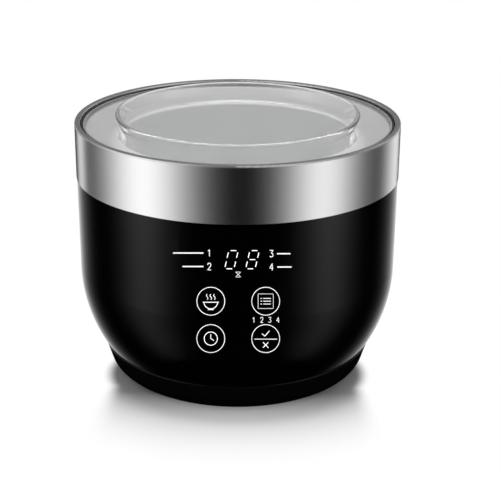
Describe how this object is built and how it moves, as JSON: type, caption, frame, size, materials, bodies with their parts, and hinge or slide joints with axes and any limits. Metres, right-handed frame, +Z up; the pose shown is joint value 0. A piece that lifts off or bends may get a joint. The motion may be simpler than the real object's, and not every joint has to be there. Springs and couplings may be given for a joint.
{
  "type": "yogurt maker",
  "caption": "Round countertop yogurt maker: gloss black shell with steel band and touch panel, heating well and a lift-out glass bowl.",
  "frame": {"origin": "on the table, under the middle of the round base", "axes": "+Z up along the axis of the bowl, -Y out of the control panel, +X to the right as the panel is read"},
  "size_m": [0.1914, 0.1914, 0.1591],
  "materials": {
    "shell_black": "gloss",
    "band_steel": "brushed",
    "ring_grey": "satin",
    "gasket_black": "matte",
    "well_metal": "satin",
    "bowl_glass": "clear",
    "base_black": "satin",
    "foot_rubber": "matte",
    "screw_steel": "plated",
    "heater_silicone": "matte",
    "sensor_brass": "satin",
    "clip_steel": "satin",
    "fuse_ceramic": "matte",
    "board_green": "satin",
    "display_grey": "matte",
    "light_white": "matte",
    "pad_foam": "matte",
    "core_yellow": "satin",
    "relay_blue": "gloss",
    "can_dark": "satin",
    "terminal_green": "satin",
    "buzzer_black": "matte",
    "plug_white": "satin",
    "inlet_black": "satin",
    "pin_brass": "plated",
    "lead_black": "matte",
    "lead_red": "matte",
    "lead_white": "matte",
    "cable_grey": "matte"
  },
  "bodies": {
    "base": {"outer_shell": "shell_black", "steel_band": "band_steel", "rim_ring": "ring_grey", "rim_gasket": "gasket_black", "heating_well": "well_metal", "base_cover": "base_black", "rubber_feet": "foot_rubber", "base_screws": "screw_steel", "heater_band": "heater_silicone", "temperature_sensor": "sensor_brass", "sensor_clip": "clip_steel", "thermal_fuse": "fuse_ceramic", "fuse_clip": "clip_steel", "control_board": "board_green", "control_board_screws": "screw_steel", "led_display": "display_grey", "indicator_lights": "light_white", "touch_pads": "pad_foam", "power_board": "board_green", "power_board_screws": "screw_steel", "transformer": "core_yellow", "relay": "relay_blue", "capacitor": "can_dark", "terminal_block": "terminal_green", "buzzer": "buzzer_black", "display_connector": "plug_white", "power_inlet": "inlet_black", "inlet_pins": "pin_brass", "mains_leads": "lead_black", "heater_leads": "lead_red", "sensor_leads": "lead_white", "display_cable": "cable_grey"},
    "bowl": {"glass_bowl": "bowl_glass"}
  },
  "joints": [
    {"name": "bowl_lift", "type": "slide", "parent": "base", "child": "bowl", "axis": [0, 0, 1], "range_m": [0, 0.12]}
  ]
}
